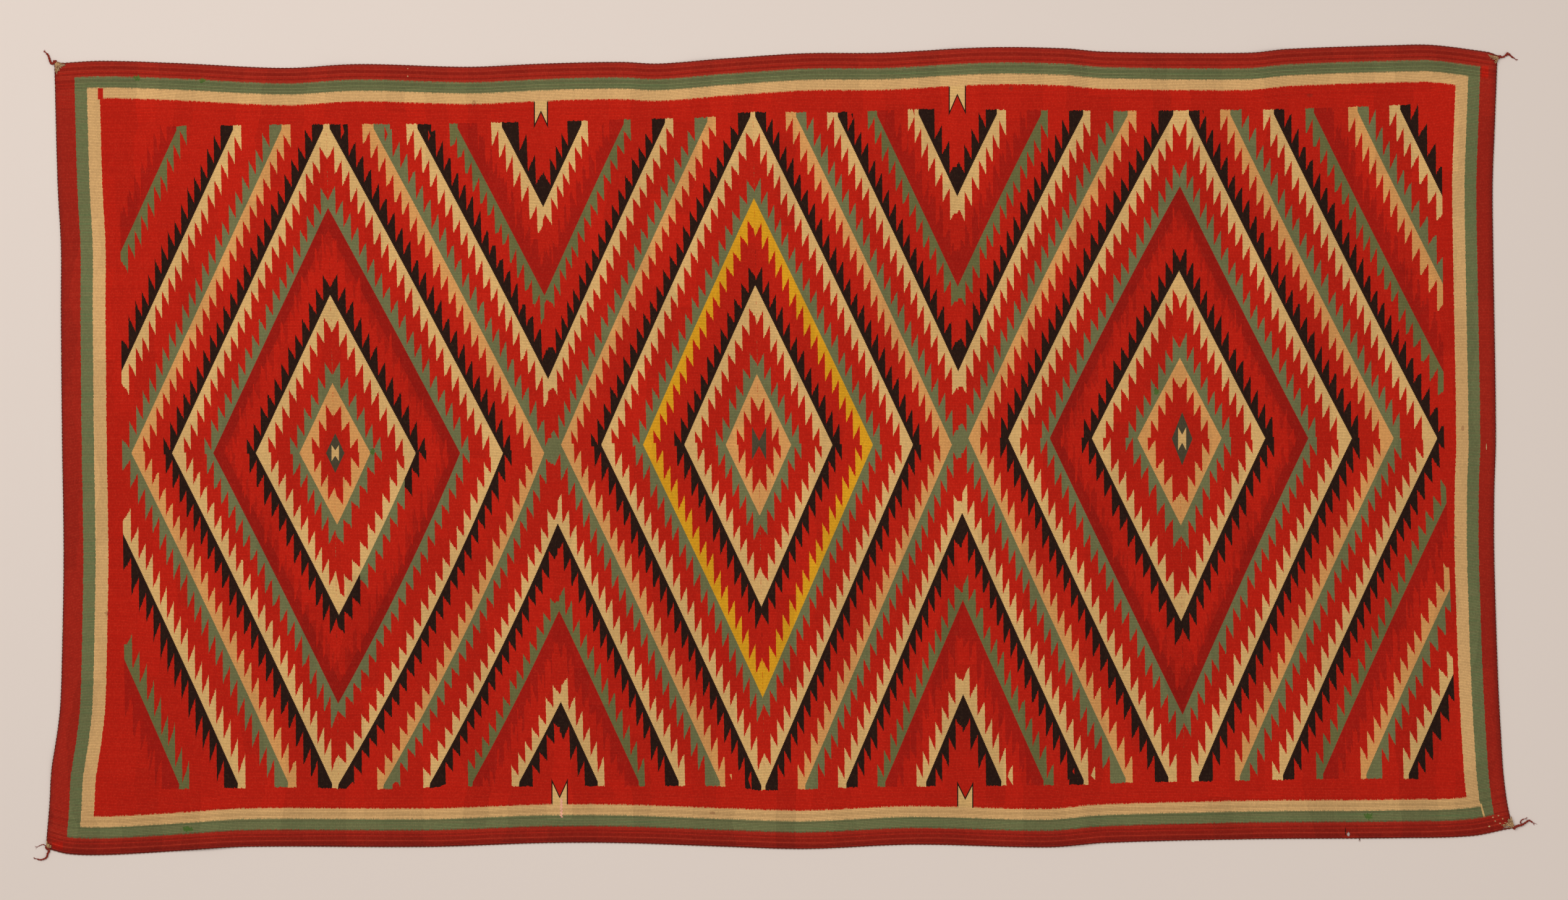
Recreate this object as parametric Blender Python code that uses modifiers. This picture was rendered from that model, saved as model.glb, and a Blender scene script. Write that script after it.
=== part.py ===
# Tapestry-woven rug, lying flat. Metres, +Z up.
# The origin is on the floor under the middle of the cloth. +X runs along the warps, the rug's
# length, and +Y across them, the rug's width.
import math

import bmesh
import bpy
from mathutils import Vector

MM = 0.001

# Driving sizes
CLOTH_THICKNESS = 3.0 * MM
EDGE_CORD_RADIUS = 1.6 * MM
GAP = 0.3 * MM
COLUMNS = 46  # stretches of cloth along the length
ROWS = 24  # stretches across the width
CORNER_REACH = 20.0 * MM  # how far the worn corner reaches along each edge
CORD_ROUNDING = 1  # bevel resolution of the edge cords, six sides

# Outer line of the two long edges, cords included: place along the length, and distance from
# the middle line, in millimetres.
TOP_EDGE = [
    # along, across
    (-1334, 714), (-1250, 719), (-1110, 715), (-910, 706), (-770, 713), (-570, 708),
    (-430, 714), (-290, 717), (-220, 714), (-90, 724), (50, 733), (190, 734),
    (390, 744), (530, 742), (600, 736), (870, 734), (940, 741), (1140, 748),
    (1210, 748), (1327, 733),
]
BOTTOM_EDGE = [
    # along, across
    (-1350, -733), (-1310, -744), (-1240, -746), (-1110, -739), (-980, -731), (-640, -731),
    (-430, -724), (-290, -724), (-90, -731), (50, -735), (250, -727), (500, -732),
    (600, -724), (870, -717), (1140, -715), (1280, -711), (1355, -696),
]

# Outer line of the two short edges: place across the width, and distance from the middle.
LEFT_EDGE = [
    # across, along
    (-733, -1350), (-650, -1343), (-595, -1340), (-535, -1331), (-480, -1324), (-420, -1321),
    (-195, -1317), (30, -1320), (260, -1322), (375, -1322), (490, -1328), (714, -1334),
]
RIGHT_EDGE = [
    # across, along
    (-696, 1355), (-650, 1345), (-595, 1338), (-535, 1334), (-420, 1328), (-195, 1321),
    (-80, 1321), (30, 1324), (375, 1319), (490, 1318), (600, 1322), (733, 1327),
]

# Low ripples where the edge is slack: middle, half length, half width and height.
RIPPLES = [
    # x, y, half_x, half_y, height (mm)
    (-820, 690, 75, 150, 3.5),
    (-500, 700, 60, 110, 2.5),
    (-140, 705, 80, 140, 3.5),
    (330, 720, 70, 120, 3.0),
    (905, 720, 65, 130, 3.5),
    (560, -700, 60, 100, 2.5),
    (-1050, -710, 90, 110, 3.0),
    (-1310, -570, 130, 60, 3.0),
]

# Each corner: the knot on the joined cord ends, then the loose tails. Places are in
# millimetres from the outer corner of the cloth, and a tail is a list of points with the
# radius it has at its root and at its tip.
KNOT_RADIUS = 4.2 * MM
KNOT_HEIGHT = 6.4 * MM
CORNERS = {
    "top_left": {
        "knot": (1.5, 3.0),
        "tails": [
            ([(1.5, 3.0), (-3.5, -1.0), (-7.5, 3.5), (-9.5, 12.0), (-11.0, 17.5), (-15.0, 23.0)],
             2.1, 1.5),
        ],
    },
    "top_right": {
        "knot": (2.5, -7.0),
        "tails": [
            ([(2.5, -7.0), (10.0, -7.5), (17.0, -3.0), (24.0, -5.0), (31.0, -10.0)], 1.7, 0.7),
            ([(15.0, -4.5), (18.5, -0.5), (22.5, -4.0)], 1.9, 1.6),
        ],
    },
    "bottom_left": {
        "knot": (3.0, -4.5),
        "tails": [
            ([(3.0, -4.5), (5.0, -10.5), (0.0, -18.5), (-4.5, -24.0), (-11.0, -27.5),
              (-16.5, -27.0)], 2.2, 0.8),
            ([(3.0, -4.5), (-5.0, 1.0), (-11.0, -2.0), (-17.0, -4.5)], 1.0, 0.6),
        ],
    },
    "bottom_right": {
        "knot": (2.5, 1.0),
        "tails": [
            ([(2.5, 1.0), (9.0, 4.0), (17.0, 6.0), (24.0, 10.5), (30.0, 14.0), (36.0, 10.5)],
             2.2, 1.0),
            ([(17.0, 6.0), (14.0, 11.0), (17.5, 15.5), (20.5, 16.5)], 1.1, 0.8),
        ],
    },
}
BARE_WARPS = 6  # strands left bare at each corner
BARE_WARP_RADIUS = 0.8 * MM
BARE_WARP_CLEARANCE = 1.2 * MM
TAIL_LIFT = 0.05 * MM  # keeps the strands' undersides on the floor
STRAND_STEPS = 3  # stretches between two given points of a tail
CORD_END_SHARE = 0.9  # the cord ends in the knot are a little thinner
CORD_END_BEND = 5.0 * MM  # where a cord end turns towards the knot

RED = (0.53, 0.011, 0.005, 1.0)
MAROON = (0.075, 0.010, 0.012, 1.0)
UMBER = (0.085, 0.028, 0.012, 1.0)
TAN = (0.42, 0.25, 0.10, 1.0)


def clear_scene():
    for old in list(bpy.data.objects):
        bpy.data.objects.remove(old, do_unlink=True)


def new_collection(name):
    made = bpy.data.collections.new(name)
    bpy.context.scene.collection.children.link(made)
    return made


def wool(name, colour, roughness):
    made = bpy.data.materials.new(name)
    made.use_nodes = True
    shader = made.node_tree.nodes["Principled BSDF"]
    shader.inputs["Base Color"].default_value = colour
    shader.inputs["Roughness"].default_value = roughness
    shader.inputs["Metallic"].default_value = 0.0
    made.diffuse_color = colour
    return made


def smooth_between(table, place):
    """The table's second column at a place in its first, on one smooth curve."""
    last = len(table) - 1
    i = 0
    while i < last - 1 and place > table[i + 1][0]:
        i += 1
    x0, y0 = table[i]
    x1, y1 = table[i + 1]
    step = x1 - x0
    slope_in = slope_at(table, i)
    slope_out = slope_at(table, i + 1)
    t = min(1.0, max(0.0, (place - x0) / step))
    return (
        (2 * t**3 - 3 * t**2 + 1) * y0
        + (t**3 - 2 * t**2 + t) * step * slope_in
        + (-2 * t**3 + 3 * t**2) * y1
        + (t**3 - t**2) * step * slope_out
    )


def slope_at(table, i):
    before = table[max(0, i - 1)]
    after = table[min(len(table) - 1, i + 1)]
    return (after[1] - before[1]) / (after[0] - before[0])


def outer_line(edge, t):
    """A point of an outer edge line, t running from 0 to 1 along it."""
    table = {"top": TOP_EDGE, "bottom": BOTTOM_EDGE, "left": LEFT_EDGE, "right": RIGHT_EDGE}[edge]
    place = table[0][0] + t * (table[-1][0] - table[0][0])
    value = smooth_between(table, place)
    if edge in ("top", "bottom"):
        return Vector((place, value)) * MM
    return Vector((value, place)) * MM


def inset_line(edge, t, inset):
    """The outer edge line moved into the cloth by inset."""
    step = 0.002
    start = outer_line(edge, max(0.0, t - step))
    end = outer_line(edge, min(1.0, t + step))
    along = (end - start).normalized()
    left_of_it = Vector((-along.y, along.x))
    inward = left_of_it if edge in ("bottom", "right") else -left_of_it
    return outer_line(edge, t) + inward * inset


def ripple_height(x, y):
    """How far the cloth stands off the floor, in metres."""
    total = 0.0
    for mid_x, mid_y, half_x, half_y, height in RIPPLES:
        off_x = (x / MM - mid_x) / half_x
        off_y = (y / MM - mid_y) / half_y
        distance = math.hypot(off_x, off_y)
        if distance < 1.0:
            total += height * MM * (0.5 + 0.5 * math.cos(math.pi * distance)) ** 1.5
    return total


def stations(count, length):
    """Shares along an edge, with one close to each end where the corner is worn away."""
    near = CORNER_REACH / length
    inner = [near + (1 - 2 * near) * k / (count - 2) for k in range(count - 1)]
    return [0.0] + inner + [1.0]


def cloth_edge(edge, t):
    """The cloth's own edge inside the cord, from one inner corner to the other."""
    inset = 2 * EDGE_CORD_RADIUS + GAP
    length = (outer_line(edge, 1) - outer_line(edge, 0)).length
    return inset_line(edge, (inset + t * (length - 2 * inset)) / length, inset)


def cloth_point(u, v):
    """A point of the cloth: its four edges, blended across it."""
    point = cloth_edge("bottom", u) * (1 - v) + cloth_edge("top", u) * v
    point += cloth_edge("left", v) * (1 - u) + cloth_edge("right", v) * u
    for along, row, row_share in (("bottom", 0, 1 - v), ("top", 1, v)):
        for side, column, column_share in (("left", 0, 1 - u), ("right", 1, u)):
            corner = (cloth_edge(along, column) + cloth_edge(side, row)) / 2
            point -= corner * row_share * column_share
    return point


def edge_shares():
    length = (outer_line("top", 1) - outer_line("top", 0)).length
    width = (outer_line("left", 1) - outer_line("left", 0)).length
    return stations(COLUMNS, length), stations(ROWS, width)


def worn_corner(point, beside, below):
    """A corner of the cloth drawn back onto the line between its two neighbours."""
    return (beside + below) / 2 + (point - (beside + below) / 2) * 0.02


def make_cloth(collection, material):
    """The one woven piece: a grid shaped to the outline, then thickened."""
    u_shares, v_shares = edge_shares()
    bpy.ops.mesh.primitive_grid_add(x_subdivisions=COLUMNS, y_subdivisions=ROWS, size=1)
    cloth = bpy.context.object
    cloth.name = "woven_cloth"
    grid = {}
    for vertex in cloth.data.vertices:
        column = round((vertex.co.x + 0.5) * COLUMNS)
        row = round((vertex.co.y + 0.5) * ROWS)
        grid[column, row] = vertex
    for (column, row), vertex in grid.items():
        point = cloth_point(u_shares[column], v_shares[row])
        vertex.co = (point.x, point.y, 0)
    for column, beside in ((0, 1), (COLUMNS, COLUMNS - 1)):
        for row, below in ((0, 1), (ROWS, ROWS - 1)):
            corner = grid[column, row]
            corner.co = worn_corner(corner.co, grid[beside, row].co, grid[column, below].co)
    for vertex in cloth.data.vertices:
        vertex.co.z = ripple_height(vertex.co.x, vertex.co.y)
    thick = cloth.modifiers.new("thickness", "SOLIDIFY")
    thick.thickness = CLOTH_THICKNESS
    thick.offset = 1.0
    thick.use_even_offset = False
    finish(cloth, collection, material)
    return cloth


def make_edge_cord(edge, collection, material):
    """The twined cord that closes one edge, up to the worn corners."""
    u_shares, v_shares = edge_shares()
    shares = u_shares if edge in ("top", "bottom") else v_shares
    points = []
    for t in shares[1:-1]:
        p = inset_line(edge, t, EDGE_CORD_RADIUS)
        points.append(Vector((p.x, p.y, EDGE_CORD_RADIUS + ripple_height(p.x, p.y))))
    cord = tube(f"edge_cord_{edge}", points, [EDGE_CORD_RADIUS] * len(points), CORD_ROUNDING)
    finish(cord, collection, material)
    return cord


def outer_corner(corner):
    """Where two outer edge lines meet."""
    along, side = corner.split("_")
    return outer_line(along, 0.0 if side == "left" else 1.0)


def knot_middle(corner):
    return outer_corner(corner) + Vector(CORNERS[corner]["knot"]) * MM


def cord_ends(corner):
    """The ends of the two edge cords at a corner, each with its direction out of the cord."""
    along, side = corner.split("_")
    u_shares, v_shares = edge_shares()
    far_u, far_v = (1 if side == "left" else -2), (1 if along == "bottom" else -2)
    next_u, next_v = (2 if side == "left" else -3), (2 if along == "bottom" else -3)
    ends = []
    for edge, end, inner in (
        (along, u_shares[far_u], u_shares[next_u]),
        (side, v_shares[far_v], v_shares[next_v]),
    ):
        point = inset_line(edge, end, EDGE_CORD_RADIUS)
        ends.append((point, (point - inset_line(edge, inner, EDGE_CORD_RADIUS)).normalized()))
    return ends


def tube(name, points, radii, rounding):
    """A closed tube along the points, as a mesh."""
    data = bpy.data.curves.new(name, "CURVE")
    data.dimensions = "3D"
    data.bevel_depth = 1.0
    data.bevel_resolution = rounding
    data.use_fill_caps = True
    line = data.splines.new("POLY")
    line.points.add(len(points) - 1)
    for given, point, radius in zip(line.points, points, radii):
        given.co = (point.x, point.y, point.z, 1.0)
        given.radius = radius
    curve = bpy.data.objects.new(name + "_line", data)
    bpy.context.scene.collection.objects.link(curve)
    bpy.context.view_layer.update()
    evaluated = curve.evaluated_get(bpy.context.evaluated_depsgraph_get())
    mesh = bpy.data.meshes.new_from_object(evaluated)
    welded = bmesh.new()
    welded.from_mesh(mesh)
    bmesh.ops.remove_doubles(welded, verts=welded.verts, dist=0.00001)
    bmesh.ops.recalc_face_normals(welded, faces=welded.faces)
    welded.to_mesh(mesh)
    welded.free()
    made = bpy.data.objects.new(name, mesh)
    bpy.context.scene.collection.objects.link(made)
    bpy.data.objects.remove(curve, do_unlink=True)
    return made


def smooth_route(points, steps):
    """Points along one smooth curve through the given points."""
    route = []
    for i in range(len(points) - 1):
        before = points[max(0, i - 1)]
        start, end = points[i], points[i + 1]
        after = points[min(len(points) - 1, i + 2)]
        for k in range(steps):
            t = k / steps
            route.append(
                0.5 * (2 * start + (end - before) * t
                       + (2 * before - 5 * start + 4 * end - after) * t**2
                       + (3 * start - before - 3 * end + after) * t**3)
            )
    return route + [points[-1]]


def make_tail(name, corner, places, root_radius, tip_radius, lift):
    """A loose cord end that lies on the floor and thins towards its tip."""
    given = [outer_corner(corner) + Vector(p) * MM for p in places]
    route = smooth_route(given, STRAND_STEPS)
    points, radii = [], []
    for k, p in enumerate(route):
        share = k / (len(route) - 1)
        radius = (root_radius + (tip_radius - root_radius) * share) * MM
        points.append(Vector((p.x, p.y, radius + lift)))
        radii.append(radius)
    return tube(name, points, radii, 0)


def chamfer_ends(corner):
    """The two cloth points between which its worn corner runs."""
    along, side = corner.split("_")
    u_shares, v_shares = edge_shares()
    row = 0 if along == "bottom" else 1
    column = 0 if side == "left" else 1
    beside = cloth_point(u_shares[1] if side == "left" else u_shares[-2], row)
    below = cloth_point(column, v_shares[1] if along == "bottom" else v_shares[-2])
    return beside, below


def level_strand(name, places, radius, height, rounding):
    """A strand at one height through the given places."""
    points = [Vector((p.x, p.y, height)) for p in places]
    return tube(name, points, [radius] * len(points), rounding)


def make_corner(corner, collection, material):
    """The knot of one corner with its tails, cord ends and bare warps, fused as one piece."""
    middle = knot_middle(corner)
    bpy.ops.mesh.primitive_uv_sphere_add(segments=12, ring_count=8, radius=1.0)
    knot = bpy.context.object
    knot.name = f"corner_tie_{corner}"
    for vertex in knot.data.vertices:
        vertex.co = (
            middle.x + vertex.co.x * KNOT_RADIUS,
            middle.y + vertex.co.y * KNOT_RADIUS,
            (vertex.co.z + 1) * KNOT_HEIGHT / 2,
        )
    strands = []
    for k, (places, root_radius, tip_radius) in enumerate(CORNERS[corner]["tails"]):
        lift = TAIL_LIFT * (1 + 5 * k)
        strands.append(make_tail(f"tail_{k}", corner, places, root_radius, tip_radius, lift))
    for k, (end, outward) in enumerate(cord_ends(corner)):
        height = EDGE_CORD_RADIUS + ripple_height(end.x, end.y)
        radius = EDGE_CORD_RADIUS * CORD_END_SHARE
        places = [middle, end + outward * CORD_END_BEND, end + outward * GAP]
        strands.append(level_strand(f"cord_end_{k}", places, radius, height, 1))
    beside, below = chamfer_ends(corner)
    for k in range(BARE_WARPS):
        end = beside.lerp(below, (k + 0.8) / (BARE_WARPS + 0.6))
        end += (middle - end).normalized() * BARE_WARP_CLEARANCE
        height = BARE_WARP_RADIUS * (1.3 + 0.12 * k)
        strands.append(
            level_strand(f"bare_warp_{k}", [middle, end], BARE_WARP_RADIUS, height, 0)
        )
    for strand in strands:
        fuse = knot.modifiers.new("fuse", "BOOLEAN")
        fuse.operation = "UNION"
        fuse.object = strand
        bpy.context.view_layer.objects.active = knot
        bpy.ops.object.modifier_apply(modifier=fuse.name)
        bpy.data.objects.remove(strand, do_unlink=True)
    finish(knot, collection, material)
    return knot


def finish(piece, collection, material):
    """Puts a piece in the rug's collection with its material."""
    for holder in list(piece.users_collection):
        holder.objects.unlink(piece)
    collection.objects.link(piece)
    piece.data.materials.clear()
    piece.data.materials.append(material)


def main():
    clear_scene()
    rug = new_collection("tapestry_rug")
    cloth_wool = wool("tapestry_wool", RED, 0.9)
    end_wool = wool("end_cord_wool", MAROON, 0.85)
    side_wool = wool("side_cord_wool", UMBER, 0.85)
    tie_wool = wool("corner_tie_wool", TAN, 0.9)
    make_cloth(rug, cloth_wool)
    for edge in ("left", "right"):
        make_edge_cord(edge, rug, end_wool)
    for edge in ("top", "bottom"):
        make_edge_cord(edge, rug, side_wool)
    for corner in CORNERS:
        make_corner(corner, rug, tie_wool)


main()
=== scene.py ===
# Eye dazzler rug, tapestry woven, seen from straight above on a pale floor.
# Metres, +Z up. +X runs along the warps and +Y across them. Tables hold millimetres.
import math
import random

import bmesh
import bpy
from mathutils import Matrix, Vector, noise


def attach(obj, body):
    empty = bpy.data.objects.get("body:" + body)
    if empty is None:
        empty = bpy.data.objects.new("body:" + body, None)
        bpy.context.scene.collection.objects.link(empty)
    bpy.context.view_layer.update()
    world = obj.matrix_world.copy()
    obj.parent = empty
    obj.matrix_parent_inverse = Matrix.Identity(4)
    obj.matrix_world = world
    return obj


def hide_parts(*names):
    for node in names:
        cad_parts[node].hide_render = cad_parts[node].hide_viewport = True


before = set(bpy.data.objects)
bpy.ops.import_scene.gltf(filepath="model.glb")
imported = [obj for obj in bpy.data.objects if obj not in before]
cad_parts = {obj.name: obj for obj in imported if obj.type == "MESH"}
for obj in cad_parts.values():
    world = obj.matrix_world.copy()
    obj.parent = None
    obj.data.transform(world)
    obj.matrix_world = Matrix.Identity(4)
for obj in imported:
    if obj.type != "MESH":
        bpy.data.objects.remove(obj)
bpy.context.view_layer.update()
mm = 0.001
print("stage 1: frame loaded")

studio = {
    "pictureWidth": 2891,  # floor that the picture takes in, from side to side
    "pictureMiddle": (11.4, 1.1),
    "cameraHeight": 9.0,
    "sensorWidth": 36.0,
    "floorSize": 14.0,
    "floorColour": (221, 207, 197),
    "keyPower": 215,
    "fillPower": 100,
    "skyStrength": 0.30,
}

# Wool colours, as red, green and blue from 0 to 255
wool = {
    "scarlet": (180, 26, 9),
    "crimson": (146, 19, 8),
    "garnet": (158, 21, 9),
    "oxblood": (156, 32, 18),  # the outer stripe
    "black": (36, 18, 11),
    "cream": (211, 168, 106),
    "sand": (207, 162, 106),  # the cream stripe of the border
    "peach": (209, 148, 85),
    "sage": (108, 108, 70),
    "olive": (103, 102, 60),
    "gold": (214, 152, 26),
    "slate": (72, 64, 46),
    "moss": (66, 100, 36),
    "leaf": (92, 112, 70),
    "rose": (240, 168, 146),
    "maroon": (98, 28, 22),
    "umber": (112, 40, 26),
    "rust": (132, 38, 22),
    "tan": (186, 150, 104),
}

# The rug's outline and its slack places, as in the CAD
rug = {
    "thickness": 3.0,
    "cordRadius": 1.6,
    "clothInset": 1.9,  # the woven edge runs into the middle of the cords
    "cellSize": 11.0,
    "ribs": 514,  # warps from edge to edge, each covered by a rib of weft
    "ribSpan": 1455,  # mean width of the cloth, across the ribs
    "weftWidth": 2.1,
    "cornerReach": 20.0,
    "topEdge": [
        # along, across
        (-1334, 714), (-1250, 719), (-1110, 715), (-910, 706), (-770, 713), (-570, 708),
        (-430, 714), (-290, 717), (-220, 714), (-90, 724), (50, 733), (190, 734),
        (390, 744), (530, 742), (600, 736), (870, 734), (940, 741), (1140, 748),
        (1210, 748), (1327, 733),
    ],
    "bottomEdge": [
        (-1350, -733), (-1310, -744), (-1240, -746), (-1110, -739), (-980, -731),
        (-640, -731), (-430, -724), (-290, -724), (-90, -731), (50, -735), (250, -727),
        (500, -732), (600, -724), (870, -717), (1140, -715), (1280, -711), (1355, -696),
    ],
    "leftEdge": [
        # across, along
        (-733, -1350), (-650, -1343), (-595, -1340), (-535, -1331), (-480, -1324),
        (-420, -1321), (-195, -1317), (30, -1320), (260, -1322), (375, -1322),
        (490, -1328), (714, -1334),
    ],
    "rightEdge": [
        (-696, 1355), (-650, 1345), (-595, 1338), (-535, 1334), (-420, 1328), (-195, 1321),
        (-80, 1321), (30, 1324), (375, 1319), (490, 1318), (600, 1322), (733, 1327),
    ],
    "ripples": [
        # x, y, half_x, half_y, height
        (-820, 690, 75, 150, 3.5), (-500, 700, 60, 110, 2.5), (-140, 705, 80, 140, 3.5),
        (330, 720, 70, 120, 3.0), (905, 720, 65, 130, 3.5), (560, -700, 60, 100, 2.5),
        (-1050, -710, 90, 110, 3.0), (-1310, -570, 130, 60, 3.0),
    ],
}

# The stepped diamonds. A ring is a line of teeth round a diamond. The weaver counts columns
# of wefts outwards along the middle row and rows of warps upwards from it, and a ring rises
# one row for each column that it comes in.
field = {
    "rowHeight": 27.7,
    "ringStep": 6,  # columns from one ring to the next
    "ringPitch": 77.5,  # mean distance from one ring to the next on the middle row
    "leanRing": 4,  # the ring that has an arm's own lean
    "shiftLevel": 10.8,  # the level where an arm's teeth have its own shift
    "firstColumn": 12.8,  # width of a column inside the first ring
    "toothRows": 2.5,  # rows on each side of a ring that keep their height
    "paleFrom": 745.0,  # right of this the third diamond's eighth ring is peach and sage
    "lastRing": 9,
    "toothShort": 0.55,  # rows of colour at the low side of a tooth
    "toothRise": 1.9,
    "innerTooth": 2.45,
    "lastTurn": 0.3,  # rows below the end of the field where slants turn upright
    "blockRows": 1.6,  # a tooth that starts this near its end is filled up to a block
    "roomRows": 1.25,  # and one that would start this far past its end is left out
    "heartColumns": 3.0,  # columns at a ring's tip that are filled from side to side
    "diamonds": [
        # x, y, columns to the first ring, axis lean above and below, columns left and right
        (-817.4, -4.6, 4.8, -0.025, 0.013, 30, 30),
        (-35.3, 10.8, 4.8, -0.017, 0.017, 30, 30),
        (741.0, 22.8, 5.7, 0.0, 0.013, 31, 37),
    ],
    "seams": [
        # x, lean above, lean below: where one diamond's columns meet the next one's
        (-1208.4, -0.008, 0.010),
        (-415.0, -0.033, 0.033),
        (335.7, -0.010, 0.010),
        (1227.8, -0.007, 0.040),
    ],
    "ringTips": [
        # how far each ring reaches on the middle row: left side, right side
        ([64.3, 144.6, 223.1, 299.0, 373.9, 461.2, 563.0],
         [66.6, 150.1, 231.8, 310.8, 387.0, 463.0, 533.2, 611.0]),
        ([60.8, 137.1, 213.2, 290.2, 364.3, 440.4, 514.9, 591.1],
         [59.9, 136.1, 210.6, 284.5, 356.1, 429.1, 498.8, 572.5]),
        ([78.1, 162.2, 239.9, 316.2, 389.9, 462.5, 531.2, 603.3],
         [76.7, 157.3, 236.8, 317.1, 394.0, 474.5, 549.5, 631.2, 711.0]),
    ],
    "arms": [
        # diamond, side, half, lean in mm for 100 mm, bend, lean added by each ring,
        # columns added to the teeth, columns added to them by each ring
        (0, -1, 1, 46.31, 0.04, -0.25, -0.05, 0.00),
        (0, -1, -1, 50.60, -0.38, -0.88, 0.27, -0.02),
        (0, 1, 1, 51.68, 0.29, -0.81, -0.10, 0.09),
        (0, 1, -1, 40.20, 1.55, -1.30, -0.25, 0.09),
        (1, -1, 1, 43.04, 0.39, -0.13, -0.22, -0.03),
        (1, -1, -1, 48.60, -0.25, 0.11, 0.08, 0.02),
        (1, 1, 1, 46.00, 0.31, -0.69, 0.10, 0.05),
        (1, 1, -1, 43.49, -0.04, -0.23, -0.22, 0.08),
        (2, -1, 1, 46.27, 0.82, -1.75, 0.15, 0.03),
        (2, -1, -1, 46.50, 0.13, -1.03, -0.22, 0.11),
        (2, 1, 1, 52.49, -0.34, -0.01, 0.25, 0.06),
        (2, 1, -1, 48.31, -0.50, 0.29, 0.05, 0.07),
    ],
    "topLine": [
        # x, y: where the teeth end below the top border
        (-1218, 597), (-818, 602), (-636, 602), (-134, 614), (-55, 624), (116, 624),
        (276, 630), (641, 626), (914, 629), (1062, 634), (1233, 640),
    ],
    "bottomLine": [
        (-1218, -625), (-990, -622), (-910, -620), (-750, -625), (-572, -619), (-123, -618),
        (-32, -626), (36, -625), (162, -620), (401, -618), (555, -616), (675, -611),
        (789, -610), (1005, -605), (1233, -605),
    ],
    "innerColours": [
        ("peach", "cream", "crimson", "cream", "peach", "cream", "olive", "cream", "cream"),
        ("peach", "cream", "gold", "cream", "peach", "cream", "olive", "cream", "cream"),
        ("peach", "cream", "crimson", "cream", "peach", "cream", "olive", "cream", "cream"),
    ],
    "outerColours": [
        ("sage", "black", "sage", "black", "sage", "black", "garnet", "black", "black"),
        ("sage", "black", "sage", "black", "sage", "black", "garnet", "black", "black"),
        ("sage", "black", "sage", "black", "sage", "black", "garnet", "black", "black"),
    ],
}

wear = {
    "hole": (1051.5, -707.5, 2.7, 4.2),  # x, y, half width, half height
    "slit": (1046.5, -702.0, 0.9, 7.5),
    "darns": [
        # x, y, half width, half height: mends in a brighter green
        (-1087, -697, 10, 7), (-1181, 687, 7, 6), (-1060, 682, 8, 5), (-747, -2, 5, 8),
        (698, 108, 5, 8), (1089, -674, 10, 7),
    ],
    "specks": [
        # places where pale warp shows through
        (1318, -676, 1.5, 1.2), (1322, -683, 1.2, 1.8), (1328, -673, 1.6, 1.0), (1331, -687, 1.5, 1.2),
        (1311, -693, 2.0, 1.6), (1341, -690, 1.8, 1.0), (1336, -679, 1.2, 1.4), (-682, 704, 0.9, 1.2),
        (-682, 690, 0.9, 1.2), (1306, 7, 0.8, 5.5),
    ],
    "newReds": [(1303.6, 698.2, 6.3, 10.8), (-1327.5, -728.5, 9.6, 6.8)],
    "roseThread": (-398.9, -659.0, 1.8, 17.5),
    "tuft": (1072.5, -713.0),
    "stains": [
        (1262, 41, 3, 5), (1248, -160, 4, 3), (-1236, -300, 5, 4), (-560, 640, 4, 5),
        (980, 655, 6, 3), (-120, -668, 5, 3), (430, 668, 4, 4),
    ],
    "cockle": 0.5,  # how unevenly the cloth lies
}

border = {
    "left": (34.9, 22.6, 23.6),  # widths of the red, green and cream stripes
    "right": (27.4, 21.7, 22.8),
    "top": (27.4, 20.5, 19.4),
    "bottom": (29.6, 20.5, 19.4),
    "tabs": [
        # x, 1 at the top and -1 at the bottom, half width, length, notch
        (-436.6, 1, 13.1, 50.5, 28.5),
        (330.8, 1, 15.9, 54.5, 35.8),
        (-402.1, -1, 15.1, 48.0, 32.5),
        (345.4, -1, 15.0, 48.0, 30.0),
    ],
    "tabOutline": 2.1,
    "redBar": (-1248.4, 657.6, 4.8, 10.4),  # a stray red bar across the cream stripe
    "rightLean": -0.0026,  # how far the right stripes lean for each millimetre up
    "creamLine": (1300.5, -669.5, -0.27, 1.7, 18.5),  # x, y, lean, half width and half height
}

# The small figures in the middles of the diamonds: a lozenge, or none, round a notched bar
hearts = [
    # x, y, lozenge half width and height, bar half width and height, valley share, bar wool
    (-815.7, -4.6, 17.1, 36.5, 6.8, 15.0, 0.33, "cream"),
    (-34.5, 13.3, 0.0, 0.0, 13.1, 31.0, 0.15, "slate"),
    (745.2, 21.9, 19.0, 49.0, 7.4, 21.3, 0.34, "cream"),
]


def dye(name):  # a wool colour as a material takes it
    parts = wool[name] if isinstance(name, str) else name
    return tuple(((c / 255 + 0.055) / 1.055) ** 2.4 for c in parts) + (1.0,)


def smoothBetween(table, place):  # the table's second column, on one smooth curve
    i = 0
    while i < len(table) - 2 and place > table[i + 1][0]:
        i += 1
    (x0, y0), (x1, y1) = table[i], table[i + 1]
    step = x1 - x0
    slopeIn, slopeOut = slopeAt(table, i), slopeAt(table, i + 1)
    t = min(1.0, max(0.0, (place - x0) / step))
    return (
        (2 * t**3 - 3 * t**2 + 1) * y0
        + (t**3 - 2 * t**2 + t) * step * slopeIn
        + (-2 * t**3 + 3 * t**2) * y1
        + (t**3 - t**2) * step * slopeOut
    )


def slopeAt(table, i):
    before = table[max(0, i - 1)]
    after = table[min(len(table) - 1, i + 1)]
    return (after[1] - before[1]) / (after[0] - before[0])


def straightBetween(xs, ys, place):  # straight stretches, the last ones carried on
    i = 0
    while i < len(xs) - 2 and place > xs[i + 1]:
        i += 1
    share = (place - xs[i]) / (xs[i + 1] - xs[i])
    return ys[i] + (ys[i + 1] - ys[i]) * share


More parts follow.
